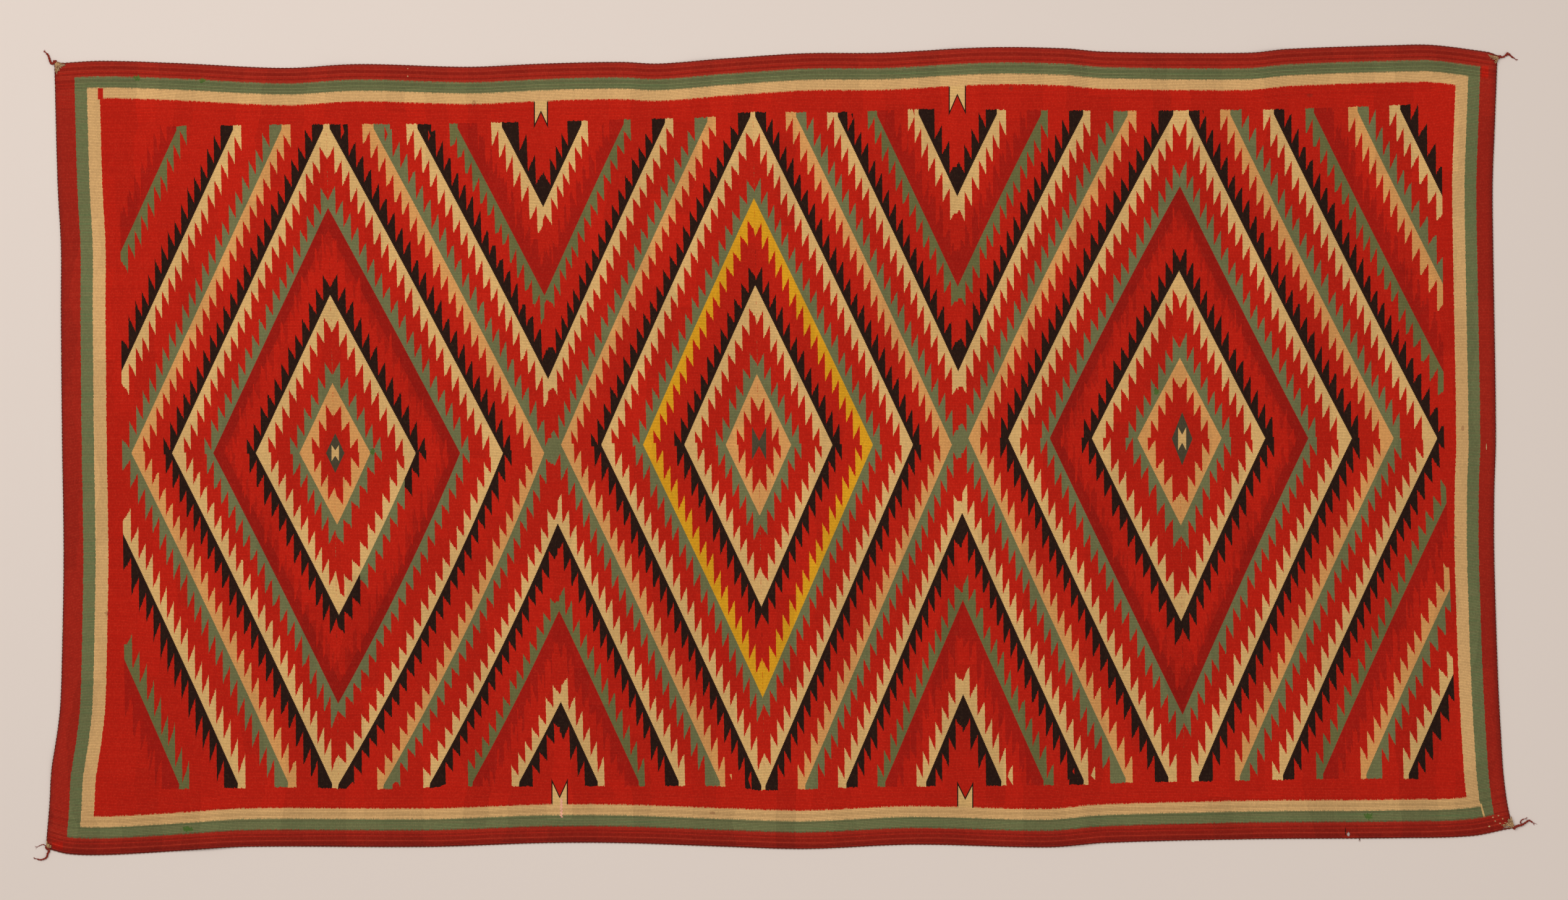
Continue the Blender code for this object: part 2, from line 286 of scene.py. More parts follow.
def outerLine(edge, t):
    table = rug[edge + "Edge"]
    place = table[0][0] + t * (table[-1][0] - table[0][0])
    value = smoothBetween(table, place)
    return Vector((place, value)) if edge in ("top", "bottom") else Vector((value, place))


def insetLine(edge, t, inset):  # the outer line, moved into the cloth
    start = outerLine(edge, max(0.0, t - 0.002))
    end = outerLine(edge, min(1.0, t + 0.002))
    along = (end - start).normalized()
    leftOfIt = Vector((-along.y, along.x))
    inward = leftOfIt if edge in ("bottom", "right") else -leftOfIt
    return outerLine(edge, t) + inward * inset


def edgeLength(edge):
    return (outerLine(edge, 1) - outerLine(edge, 0)).length


def clothEdge(edge, t):
    inset = rug["clothInset"]
    length = edgeLength(edge)
    return insetLine(edge, (inset + t * (length - 2 * inset)) / length, inset)


def rippleHeight(x, y):  # how far the cloth stands off the floor
    total = 0.0
    for middleX, middleY, halfX, halfY, height in rug["ripples"]:
        distance = math.hypot((x - middleX) / halfX, (y - middleY) / halfY)
        if distance < 1.0:
            total += height * (0.5 + 0.5 * math.cos(math.pi * distance)) ** 1.5
    return total


def ringLevel(diamond, side, half, lean, bend, ringLean, x, y):
    # Columns out to the ring through this point, found where that ring meets the middle row.
    middleX, middleY = field["diamonds"][diamond][:2]
    rise = half * (y - middleY) / 100
    reach = side * (x - middleX) + (lean - field["leanRing"] * ringLean) * rise + bend * rise**2
    reach /= 1 - ringLean / field["ringPitch"] * rise
    tips = field["ringTips"][diamond][0 if side < 0 else 1]
    first = field["diamonds"][diamond][2]
    if reach < tips[0]:
        return first + (reach - tips[0]) / field["firstColumn"]
    k = 0
    while k < len(tips) - 2 and reach > tips[k + 1]:
        k += 1
    # the teeth keep their height, so what a gap has too much or too little goes to its middle
    rowReach = lean * field["rowHeight"] / 100
    rows, step = field["toothRows"], field["ringStep"]
    toothReach = rows * rowReach
    places = [tips[k], tips[k] + toothReach, tips[k + 1] - toothReach, tips[k + 1]]
    levels = [first + step * k + row for row in (0, rows, step - rows, step)]
    if reach > tips[k + 1]:
        return levels[3] + (reach - tips[k + 1]) / rowReach
    return straightBetween(places, levels, reach)


def columnsOut(diamond, side, reach):
    tips = field["ringTips"][diamond][0 if side < 0 else 1]
    first = field["diamonds"][diamond][2]
    levels = [first + field["ringStep"] * k for k in range(len(tips))]
    if reach < tips[0]:
        return reach * first / tips[0]
    return straightBetween(tips, levels, reach)


def columnAt(diamond, side, half, x, y):  # columns out from the diamond's leaning axis
    middleX, middleY, first, leanAbove, leanBelow = field["diamonds"][diamond][:5]
    rise = abs(y - middleY)
    axis = middleX + (leanAbove if half > 0 else leanBelow) * rise
    seamX, seamAbove, seamBelow = field["seams"][diamond if side < 0 else diamond + 1]
    seam = seamX + (seamAbove if half > 0 else seamBelow) * rise
    stretch = abs(seamX - middleX) / abs(seam - axis)
    return columnsOut(diamond, side, side * (x - axis) * stretch)


def armNumbers(arm, x, y):  # the level and the tooth column of a point, seen from one arm
    diamond, side, half, lean, bend, ringLean, shift, ringShift = arm
    level = ringLevel(diamond, side, half, lean, bend, ringLean, x, y)
    column = columnAt(diamond, side, half, x, y)
    count = field["diamonds"][diamond][5 if side < 0 else 6]
    free = min(1.0, max(0.0, column / 4)) * min(1.0, max(0.0, (count - column) / 4))
    column += free * (shift + ringShift * (level - field["shiftLevel"]) / field["ringStep"])
    return level, min(column, count - 0.06)


def armName(side, half):
    return ("top" if half > 0 else "bottom") + ("Left" if side < 0 else "Right")


def armFields():  # the counts that a point carries for each arm
    sides = [armName(side, half) for half in (1, -1) for side in (-1, 1)]
    return [name + kind for name in sides for kind in ("Level", "Column")]


def evenShares(length):
    count = round(length / rug["cellSize"])
    return [k / count for k in range(count + 1)]


def weaveGrid():
    # One flat grid, bent to the outline. Every vertex carries the weaver's counts.
    along, across = evenShares(edgeLength("top")), evenShares(edgeLength("left"))
    grid = bmesh.new()
    bmesh.ops.create_grid(grid, x_segments=len(along) - 1, y_segments=len(across) - 1, size=0.5)
    layers = {}
    for name in ("weave", "margins", "ends", "bounds", *armFields()):
        layers[name] = grid.verts.layers.float_vector.new(name)
    bottoms = [clothEdge("bottom", u) for u in along]
    tops = [clothEdge("top", u) for u in along]
    lefts = [clothEdge("left", v) for v in across]
    rights = [clothEdge("right", v) for v in across]
    corners = [
        [(bottoms[0] + lefts[0]) / 2, (bottoms[-1] + rights[0]) / 2],
        [(tops[0] + lefts[-1]) / 2, (tops[-1] + rights[-1]) / 2],
    ]
    topXs, topYs = zip(*field["topLine"])
    bottomXs, bottomYs = zip(*field["bottomLine"])
    lastColumn, lastRow = len(along) - 1, len(across) - 1
    for vertex in grid.verts:
        column = round((vertex.co.x + 0.5) * lastColumn)
        row = round((vertex.co.y + 0.5) * lastRow)
        u, v = along[column], across[row]
        point = bottoms[column] * (1 - v) + tops[column] * v
        point += lefts[row] * (1 - u) + rights[row] * u
        for i, rowShare in ((0, 1 - v), (1, v)):
            for j, columnShare in ((0, 1 - u), (1, u)):
                point -= corners[i][j] * rowShare * columnShare
        x, y = point
        cockle = wear["cockle"] * (1 + noise.noise(Vector((x / 95, y / 60, 4.0))))
        vertex.co = Vector((x, y, rippleHeight(x, y) + cockle)) * mm
        vertex[layers["weave"]] = (u * edgeLength("top"), v * rug["ribs"], 0)
        vertex[layers["margins"]] = (x - lefts[row].x, rights[row].x - x, 0)
        vertex[layers["ends"]] = (tops[column].y - y, y - bottoms[column].y, 0)
        vertex[layers["bounds"]] = (
            (straightBetween(topXs, topYs, x) - y) / field["rowHeight"],
            (y - straightBetween(bottomXs, bottomYs, x)) / field["rowHeight"],
            0,
        )
        counts = {}
        for arm in field["arms"]:
            name = armName(arm[1], arm[2])
            level, tooth = armNumbers(arm, x, y)
            counts.setdefault(name + "Level", [0, 0, 0])[arm[0]] = level
            counts.setdefault(name + "Column", [0, 0, 0])[arm[0]] = tooth
        for name, values in counts.items():
            vertex[layers[name]] = values
    wearCorners(grid)
    eatHole(grid)
    mesh = bpy.data.meshes.new("wovenCloth")
    grid.to_mesh(mesh)
    grid.free()
    return mesh


def wearCorners(grid):
    # Each corner is worn back to a line between the ends of the two cords.
    for x, y, share in ((-1, -1, 0.35), (-1, 1, 1.0), (1, -1, 0.8), (1, 1, 0.4)):
        reach = rug["cornerReach"] * share * mm
        corner = max(grid.verts, key=lambda v: v.co.x * x + v.co.y * y).co.copy()
        for near in grid.verts:
            inX, inY = (corner.x - near.co.x) * x, (corner.y - near.co.y) * y
            short = reach * 0.8 - inX - inY
            if short > 0:
                near.co.x -= x * short * 0.5
                near.co.y -= y * short * 0.5


def eatHole(grid):
    # The moth hole: the cells round it are cut finer, and the ones inside it taken out.
    x, y, halfWidth, halfHeight = (size * mm for size in wear["hole"])
    near = [
        face for face in grid.faces
        if (face.calc_center_median().xy - Vector((x, y))).length < 15 * mm
    ]
    edges = {edge for face in near for edge in face.edges}
    bmesh.ops.subdivide_edges(grid, edges=list(edges), cuts=7, use_grid_fill=True)
    gone = []
    for face in grid.faces:
        middle = face.calc_center_median()
        if math.hypot((middle.x - x) / halfWidth, (middle.y - y) / halfHeight) < 1:
            gone.append(face)
    bmesh.ops.delete(grid, geom=gone, context="FACES")


def newObject(name, data):
    made = bpy.data.objects.new(name, data)
    bpy.context.scene.collection.objects.link(made)
    return made


def newPiece(name, mesh, material):
    made = newObject(name, mesh)
    made.data.materials.clear()
    made.data.materials.append(material)
    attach(made, "root")
    return made


def smoothFaces(mesh):
    for face in mesh.polygons:
        face.use_smooth = True


# Shader helpers
def node(tree, kind, **settings):
    made = tree.nodes.new(kind)
    for name, value in settings.items():
        setattr(made, name, value)
    return made


def feed(tree, socket, value):
    if isinstance(value, bpy.types.NodeSocket):
        tree.links.new(value, socket)
    else:
        socket.default_value = value


def calc(tree, operation, *values):
    made = node(tree, "ShaderNodeMath", operation=operation)
    for socket, value in zip(made.inputs, values):
        feed(tree, socket, value)
    return made.outputs[0]


def plus(tree, a, b):
    return calc(tree, "ADD", a, b)


def minus(tree, a, b):
    return calc(tree, "SUBTRACT", a, b)


def times(tree, a, b):
    return calc(tree, "MULTIPLY", a, b)


def scaled(tree, value, scale, start):  # scale times the value, and the start added
    return calc(tree, "MULTIPLY_ADD", value, scale, start)


def vectorCalc(tree, operation, *values):
    made = node(tree, "ShaderNodeVectorMath", operation=operation)
    for socket, value in zip(made.inputs, values):
        feed(tree, socket, value)
    return made.outputs[0]


def both(tree, *masks):  # all the masks at once
    total = masks[0]
    for mask in masks[1:]:
        total = times(tree, total, mask)
    return total


def either(tree, *masks):
    total = masks[0]
    for mask in masks[1:]:
        total = calc(tree, "MAXIMUM", total, mask)
    return total


def without(tree, mask):
    return minus(tree, 1.0, mask)


def over(tree, a, b):
    return calc(tree, "GREATER_THAN", a, b)


def under(tree, a, b):
    return calc(tree, "LESS_THAN", a, b)


def between(tree, value, low, high):
    return both(tree, over(tree, value, low), under(tree, value, high))


def pick(tree, mask, a, b):  # a where the mask is 0 and b where it is 1
    made = node(tree, "ShaderNodeMix", data_type="FLOAT")
    feed(tree, made.inputs[0], mask)
    feed(tree, made.inputs[2], a)
    feed(tree, made.inputs[3], b)
    return made.outputs[0]


def paint(tree, mask, first, second, blend="MIX"):
    made = node(tree, "ShaderNodeMix", data_type="RGBA", blend_type=blend)
    feed(tree, made.inputs[0], mask)
    feed(tree, made.inputs[6], first)
    feed(tree, made.inputs[7], second)
    return made.outputs[2]


def shade(tree, base, tone):
    return paint(tree, 1.0, base, join(tree, tone, tone, tone), "MULTIPLY")


def split(tree, vector):
    made = node(tree, "ShaderNodeSeparateXYZ")
    feed(tree, made.inputs[0], vector)
    return made.outputs


def join(tree, x, y=0.0, z=0.0):
    made = node(tree, "ShaderNodeCombineXYZ")
    for socket, value in zip(made.inputs, (x, y, z)):
        feed(tree, socket, value)
    return made.outputs[0]


def attribute(tree, name):
    return node(tree, "ShaderNodeAttribute", attribute_name=name).outputs["Vector"]


def cloud(tree, vector, scale, detail=2.0, roughness=0.5):
    made = node(tree, "ShaderNodeTexNoise", noise_dimensions="3D")
    feed(tree, made.inputs["Vector"], vector)
    made.inputs["Scale"].default_value = scale
    made.inputs["Detail"].default_value = detail
    made.inputs["Roughness"].default_value = roughness
    return made.outputs["Fac"]


def chance(tree, vector):  # one random number for each whole place
    made = node(tree, "ShaderNodeTexWhiteNoise", noise_dimensions="3D")
    feed(tree, made.inputs["Vector"], vector)
    return made.outputs["Value"]


def newGroup(name, inputs, outputs):
    group = bpy.data.node_groups.new(name, "ShaderNodeTree")
    for label, kind, value in inputs:
        socket = group.interface.new_socket(name=label, in_out="INPUT", socket_type=kind)
        socket.default_value = value
    for label, kind in outputs:
        group.interface.new_socket(name=label, in_out="OUTPUT", socket_type=kind)
    source = group.nodes.new("NodeGroupInput")
    sink = group.nodes.new("NodeGroupOutput")
    return group, source.outputs, sink.inputs


def useGroup(tree, group, **values):
    made = node(tree, "ShaderNodeGroup", node_tree=group)
    for name, value in values.items():
        feed(tree, made.inputs[name], value)
    return made.outputs


number, vector, colour = "NodeSocketFloat", "NodeSocketVector", "NodeSocketColor"


def ringGroup():
    # Chooses the diamond and the arm that a point belongs to.
    inputs = [(name, vector, (0, 0, 0)) for name in armFields()]
    inputs.append(("ribOffset", number, 0.0))
    outputs = [("Level", number), ("Column", number), ("Diamond", number), ("Upper", number)]
    group, source, sink = newGroup("steppedRings", inputs, outputs)
    drop = calc(group, "DIVIDE", source["ribOffset"], field["rowHeight"])
    dropAll = join(group, drop, drop, drop)
    halves = {}
    for half, move in ((1, "SUBTRACT"), (-1, "ADD")):
        left, right = armName(-1, half), armName(1, half)
        level = vectorCalc(group, "MAXIMUM", source[left + "Level"], source[right + "Level"])
        column = vectorCalc(group, "MAXIMUM", source[left + "Column"], source[right + "Column"])
        halves[half] = (split(group, vectorCalc(group, move, level, dropAll)), split(group, column))
    best = None
    for k in range(3):
        levelUp, levelDown = halves[1][0][k], halves[-1][0][k]
        upper = over(group, levelUp, levelDown)
        level = calc(group, "MAXIMUM", levelUp, levelDown)
        column = pick(group, upper, halves[-1][1][k], halves[1][1][k])
        if best is None:
            best = (level, column, 0.0, upper)
        else:
            fewer = field["diamonds"][k][2] - field["diamonds"][k - 1][2]
            nearer = under(group, minus(group, level, fewer), best[0])
            best = tuple(
                pick(group, nearer, old, new)
                for old, new in zip(best, (level, column, float(k), upper))
            )
    for name, value in zip(("Level", "Column", "Diamond", "Upper"), best):
        feed(group, sink[name], value)
    return group


def toothGroup():
    # Masks of the teeth inside and outside the nearest ring.
    inputs = [
        ("Level", number, 0.0), ("Column", number, 0.0), ("First", number, 4.8),
        ("RowsLeft", number, 9.0), ("LastRow", number, 20.0), ("Jitter", number, 0.0),
        ("InnerStreak", number, 0.0), ("OuterStreak", number, 0.0),
    ]
    outputs = [("Inner", number), ("Outer", number), ("Ring", number), ("Tooth", number)]
    group, source, sink = newGroup("ringTeeth", inputs, outputs)
    level, column = source["Level"], source["Column"]
    step = field["ringStep"]
    ring = calc(group, "DIVIDE", minus(group, level, source["First"]), step)
    ring = calc(group, "FLOOR", plus(group, ring, 0.5))
    ring = calc(group, "MINIMUM", calc(group, "MAXIMUM", ring, 0.0), field["lastRing"] - 1)
    ringLevelAt = scaled(group, ring, float(step), source["First"])
    height = minus(group, level, ringLevelAt)
    # in the last row the slanting line between the two colours turns upright
    turned = calc(group, "MAXIMUM", minus(group, field["lastTurn"], source["RowsLeft"]), 0.0)
    beyondLine = over(group, minus(group, height, turned), 0.0)
    tooth = calc(group, "FLOOR", column)
    share = minus(group, column, tooth)
    rise = times(group, share, field["toothRise"])
    rise = plus(group, rise, source["Jitter"])
    startRow = minus(group, ringLevelAt, tooth)
    block = over(group, plus(group, startRow, field["blockRows"]), source["LastRow"])
    outerTop = plus(group, plus(group, rise, field["toothShort"]), block)
    outerTop = plus(group, outerTop, source["OuterStreak"])
    beyond = plus(group, calc(group, "CEIL", ringLevelAt), 1.0)
    outer = both(
        group, beyondLine, under(group, height, outerTop), under(group, column, beyond)
    )
    depth = times(group, height, -1.0)
    toothDepth = minus(group, field["innerTooth"], rise)
    toothDepth = plus(group, toothDepth, source["InnerStreak"])
    heart = both(
        group, over(group, column, minus(group, beyond, field["heartColumns"])),
        under(group, column, ringLevelAt),
    )
    hasRoom = under(group, minus(group, startRow, field["roomRows"]), source["LastRow"])
    inner = both(
        group, either(group, under(group, depth, toothDepth), heart),
        without(group, beyondLine), hasRoom,
    )
    for name, value in (("Inner", inner), ("Outer", outer), ("Ring", ring), ("Tooth", tooth)):
        feed(group, sink[name], value)
    return group


def ringColour(tree, ring, diamond, tables):
    # A ring's colour, from the diamond's own list.
    result = None
    for k, names in enumerate(tables):
        ramp = node(tree, "ShaderNodeValToRGB")
        ramp.color_ramp.interpolation = "CONSTANT"
        elements = ramp.color_ramp.elements
        while len(elements) < len(names):
            elements.new(0.5)
        for i, (element, name) in enumerate(zip(elements, names)):
            element.position = i / 10
            element.color = dye(name)
        feed(tree, ramp.inputs[0], scaled(tree, ring, 0.1, 0.05))
        if result is None:
            result = ramp.outputs[0]
        else:
            result = paint(tree, over(tree, diamond, k - 0.5), result, ramp.outputs[0])
    return result


def stripeNumber(tree, distance, widths):  # 0 on the outer stripe, 3 on the field
    total = 0.0
    reached = 0.0
    for width in widths:
        reached += width
        total = plus(tree, over(tree, distance, reached), total)
    return total


def weaveGroup():
    # The ribs and the wefts that wrap them: light, height and a tone for each bead.
    inputs = [("Weave", vector, (0, 0, 0)), ("WeftWidth", number, rug["weftWidth"])]
    outputs = [("Light", number), ("Height", number), ("Bead", number), ("Ridge", number)]
    group, source, sink = newGroup("weftFacedWeave", inputs, outputs)
    along, rib, _ = split(group, source["Weave"])
    spread = vectorCalc(group, "MULTIPLY", source["Weave"], (0.004, 0.02, 0.0))
    wander = minus(group, cloud(group, spread, 1.0, 3.0), 0.5)
    rib = scaled(group, wander, 2.6, rib)
    ribNumber = calc(group, "FLOOR", rib)
    ribShare = minus(group, rib, ribNumber)
    shift = times(group, calc(group, "MODULO", ribNumber, 2.0), 0.5)
    weft = plus(group, calc(group, "DIVIDE", along, source["WeftWidth"]), shift)
    weftNumber = calc(group, "FLOOR", weft)
    weftShare = minus(group, weft, weftNumber)
    ribRound = calc(group, "SINE", times(group, ribShare, math.pi))
    weftRound = calc(group, "SINE", times(group, weftShare, math.pi))
    ribRound = calc(group, "POWER", ribRound, 0.6)
    weftRound = calc(group, "POWER", weftRound, 0.5)
    bead = chance(group, join(group, weftNumber, ribNumber))
    height = times(group, ribRound, scaled(group, weftRound, 0.35, 0.65))
    light = scaled(group, height, 0.34, 0.74)
    feed(group, sink["Light"], light)
    feed(group, sink["Height"], height)
    feed(group, sink["Bead"], bead)
    feed(group, sink["Ridge"], chance(group, join(group, ribNumber, 31.0)))
    return group


def newMaterial(name, roughness, sheen):
    made = bpy.data.materials.new(name)
    made.use_nodes = True
    shader = made.node_tree.nodes["Principled BSDF"]
    shader.inputs["Roughness"].default_value = roughness
    shader.inputs["Sheen Weight"].default_value = sheen
    shader.inputs["Sheen Roughness"].default_value = 0.6
    shader.inputs["Specular IOR Level"].default_value = 0.08
    return made, made.node_tree, shader


def addRelief(tree, shader, height, strength, distance):
    relief = node(tree, "ShaderNodeBump")
    relief.inputs["Strength"].default_value = strength
    relief.inputs["Distance"].default_value = distance * mm
    feed(tree, relief.inputs["Height"], height)
    feed(tree, shader.inputs["Normal"], relief.outputs[0])


def tabMasks(tree, place, topGap, bottomGap):
    # The notched tabs that hang from the cream stripe, and their black outline.
    fill, line = [], []
    for x, half, halfWidth, length, notch in border["tabs"]:
        gap = topGap if half > 0 else bottomGap
        off = calc(tree, "ABSOLUTE", minus(tree, place, x))
        for masks, trim in ((fill, border["tabOutline"]), (line, 0.0)):
            cut = scaled(tree, off, notch / halfWidth, length - notch - 2.2 * trim)
            masks.append(both(
                tree, under(tree, off, halfWidth - trim), over(tree, gap, -3.0), under(tree, gap, cut)
            ))
    return either(tree, *fill), either(tree, *line)


def heartFigures(tree, base, x, y):
    # Lozenges and notched bars in the middles of the diamonds.
    for middleX, middleY, lozengeX, lozengeY, barX, barY, valley, barWool in hearts:
        offX = calc(tree, "ABSOLUTE", minus(tree, x, middleX))
        offY = calc(tree, "ABSOLUTE", minus(tree, y, middleY))
        if lozengeX:
            slant = scaled(tree, offX, lozengeY / lozengeX, offY)
            base = paint(tree, under(tree, slant, lozengeY), base, dye("slate"))
        top = scaled(tree, offX, (1 - valley) * barY / barX, valley * barY)
        bar = both(tree, under(tree, offX, barX), under(tree, offY, top))
        base = paint(tree, bar, base, dye(barWool))
    return base


def blockMask(tree, x, y, lean, block):
    # An upright block, or one that leans to the side by so much for each millimetre up.
    middleX, middleY, halfWidth, halfHeight = block
    rise = minus(tree, y, middleY)
    aside = minus(tree, scaled(tree, rise, -lean, x), middleX)
    return both(
        tree, between(tree, aside, -halfWidth, halfWidth), between(tree, rise, -halfHeight, halfHeight)
    )


def spotMask(tree, x, y, shake, spots):
    masks = []
    for spotX, spotY, halfWidth, halfHeight in spots:
        offX = calc(tree, "DIVIDE", minus(tree, x, spotX), halfWidth)
        offY = calc(tree, "DIVIDE", minus(tree, y, spotY), halfHeight)
        far = plus(tree, calc(tree, "POWER", offX, 2.0), calc(tree, "POWER", offY, 2.0))
        masks.append(under(tree, plus(tree, far, shake), 1.0))
    return either(tree, *masks)


def mendsStainsAndShadedSlit(tree, base, place, x, y, bead):
    shake = scaled(tree, cloud(tree, place, 260.0), 2.4, -1.2)
    speckled = plus(tree, shake, times(tree, bead, 0.7))
    darn = spotMask(tree, x, y, speckled, wear["darns"])
    base = paint(tree, times(tree, darn, 0.8), base, dye("moss"))
    stain = spotMask(tree, x, y, shake, wear["stains"])
    base = paint(tree, times(tree, stain, 0.35), base, dye("umber"))
    base = paint(tree, spotMask(tree, x, y, shake, wear["specks"]), base, dye("tan"))
    threadX, threadY, halfWidth, halfHeight = wear["roseThread"]
    sway = times(tree, calc(tree, "SINE", times(tree, y, 1.1)), 1.3)
    thread = both(
        tree, between(tree, plus(tree, x, sway), threadX - halfWidth, threadX + halfWidth),
        between(tree, y, threadY - halfHeight, threadY + halfHeight),
    )
    base = paint(tree, times(tree, thread, 0.85), base, dye("rose"))
    # the slit is painted dark red-brown as painted shade in the opening
    return paint(tree, spotMask(tree, x, y, 0.0, [wear["slit"]]), base, dye((60, 14, 10)))


toneSpread = {
    "width": 38,
    "height": 170,
    "tone": 0.79,  # of the darkest batch
    "batchRange": 0.15,
    "streakRange": 0.14,
    "driftRange": 0.12,
    "toneRise": 0.00005,  # for each millimetre across the rug
}


def unevenTone(tree, base, x, y):
    # Each batch of wool took the dye a little differently: patches with upright edges.
    wide = join(tree, times(tree, x, 0.004), times(tree, y, 0.006))
    drift = cloud(tree, wide, 1.0, 3.0)
    shift = times(tree, drift, 2.2)
    strip = calc(tree, "FLOOR", scaled(tree, x, 1 / toneSpread["width"], shift))
    start = times(tree, chance(tree, join(tree, strip, 11.0)), 5.0)
    patch = calc(tree, "FLOOR", scaled(tree, y, 1 / toneSpread["height"], start))
    batch = chance(tree, join(tree, strip, patch, 2.0))
    narrow = join(tree, times(tree, x, 0.35), times(tree, y, 0.05))
    fine = cloud(tree, narrow, 1.0, 3.0)
    tone = scaled(tree, batch, toneSpread["batchRange"], toneSpread["tone"])
    tone = scaled(tree, fine, toneSpread["streakRange"], tone)
    tone = scaled(tree, drift, toneSpread["driftRange"], tone)
    # the whole rug is also made a little darker towards the bottom
    tone = scaled(tree, y, toneSpread["toneRise"], tone)
    return shade(tree, base, tone)


def rugMaterial(weave):
    material, tree, shader = newMaterial("tapestryWool", 0.92, 0.03)
    strands = useGroup(tree, weave, Weave=attribute(tree, "weave"))
    along, rib, _ = split(tree, attribute(tree, "weave"))
    ribNumber = calc(tree, "FLOOR", rib)
    ribPitch = rug["ribSpan"] / rug["ribs"]
    ribOffset = minus(tree, minus(tree, rib, ribNumber), 0.5)
    ribOffset = times(tree, ribOffset, ribPitch)
    levels = {name: attribute(tree, name) for name in armFields()}
    rings = useGroup(tree, ringGroup(), ribOffset=ribOffset, **levels)
    level, column, diamond, upper = (rings[name] for name in ("Level", "Column", "Diamond", "Upper"))
    weftPlace = calc(tree, "DIVIDE", along, rug["weftWidth"])
    comb = chance(tree, join(tree, calc(tree, "FLOOR", weftPlace), 3.0))
    bump = chance(tree, join(tree, ribNumber, 7.0))
    topRows, bottomRows, _ = split(tree, attribute(tree, "bounds"))
    drop = calc(tree, "DIVIDE", ribOffset, field["rowHeight"])
    rowsLeft = pick(
        tree, upper, minus(tree, bottomRows, drop), plus(tree, topRows, drop)
    )
    lastRow = plus(tree, minus(tree, level, column), rowsLeft)
    column = plus(tree, column, scaled(tree, bump, 0.05, -0.025))
    combRows = scaled(tree, comb, 0.09, -0.045)
    topRows = plus(tree, topRows, combRows)
    bottomRows = plus(tree, bottomRows, combRows)
    first = pick(tree, over(tree, diamond, 1.5), field["diamonds"][0][2], field["diamonds"][2][2])
    step = field["ringStep"]
    ringHere = calc(tree, "ROUND", calc(tree, "DIVIDE", minus(tree, level, first), step))
    toothTone = chance(tree, join(tree, calc(tree, "FLOOR", column), ringHere, diamond))
    jitter = scaled(tree, toothTone, 0.3, -0.15)
    streakNumber = calc(tree, "FLOOR", calc(tree, "DIVIDE", along, 2 * rug["weftWidth"]))
    streak = chance(tree, join(tree, streakNumber, ringHere, 5.0))
    inCrimson = both(
        tree, between(tree, ringHere, 1.5, 2.5), without(tree, between(tree, diamond, 0.5, 1.5))
    )
    innerStreak = both(tree, inCrimson, times(tree, streak, 1.3))
    outerStreak = both(tree, between(tree, ringHere, 5.5, 6.5), times(tree, streak, 1.2))
    teeth = useGroup(
        tree, toothGroup(), Level=level, Column=column, First=first, LastRow=lastRow, Jitter=jitter,
        RowsLeft=rowsLeft, InnerStreak=innerStreak, OuterStreak=outerStreak,
    )
    place = node(tree, "ShaderNodeTexCoord").outputs["Object"]
    here = node(tree, "ShaderNodeVectorMath", operation="SCALE")
    feed(tree, here.inputs[0], place)
    here.inputs["Scale"].default_value = 1000
    x, y, _ = split(tree, here.outputs[0])
    insideEnds = 1.0
    for seam, diamondRow, compare in ((0, 0, over), (3, 2, under)):
        seamX, seamAbove, seamBelow = field["seams"][seam]
        rise = calc(tree, "ABSOLUTE", minus(tree, y, field["diamonds"][diamondRow][1]))
        lean = pick(tree, upper, seamBelow, seamAbove)
        seamHere = scaled(tree, rise, lean, seamX)
        insideEnds = both(tree, compare(tree, x, seamHere), insideEnds)
    inside = both(tree, over(tree, topRows, 0.0), over(tree, bottomRows, 0.0), insideEnds)
    inner = both(tree, teeth["Inner"], inside)
    outer = both(tree, teeth["Outer"], inside)
    ring = teeth["Ring"]
    innerDye = ringColour(tree, ring, diamond, field["innerColours"])
    outerDye = ringColour(tree, ring, diamond, field["outerColours"])
    farRight = both(tree, over(tree, x, field["paleFrom"]), between(tree, ring, 6.5, 7.5))
    innerDye = paint(tree, farRight, innerDye, dye("peach"))
    outerDye = paint(tree, farRight, outerDye, dye("sage"))
    farLeft = both(tree, under(tree, x, field["diamonds"][0][0]), over(tree, ring, 6.5))
    lastOnes = both(tree, under(tree, x, field["diamonds"][2][0]), over(tree, ring, 7.5))
    leftOut = without(tree, either(tree, farLeft, lastOnes))
    inner = both(tree, inner, leftOut)
    outer = both(tree, outer, leftOut)
    # the weaver ran out of black on one side of the first diamond
    greenTeeth = both(
        tree, between(tree, ring, 0.5, 1.5), under(tree, diamond, 0.5), without(tree, upper),
        over(tree, x, field["diamonds"][0][0]), between(tree, teeth["Tooth"], 2.5, 8.5),
    )
    outerDye = paint(tree, greenTeeth, outerDye, dye("sage"))
    # the crimson fades out in thin uprights towards the scarlet
    depth = scaled(tree, ringHere, step, minus(tree, first, level))
    faded = both(tree, inCrimson, over(tree, depth, 1.5))
    inner = times(tree, inner, scaled(tree, faded, -0.45, 1.0))
    base = paint(tree, inner, dye("scarlet"), innerDye)
    base = paint(tree, outer, base, outerDye)
    base = heartFigures(tree, base, x, y)

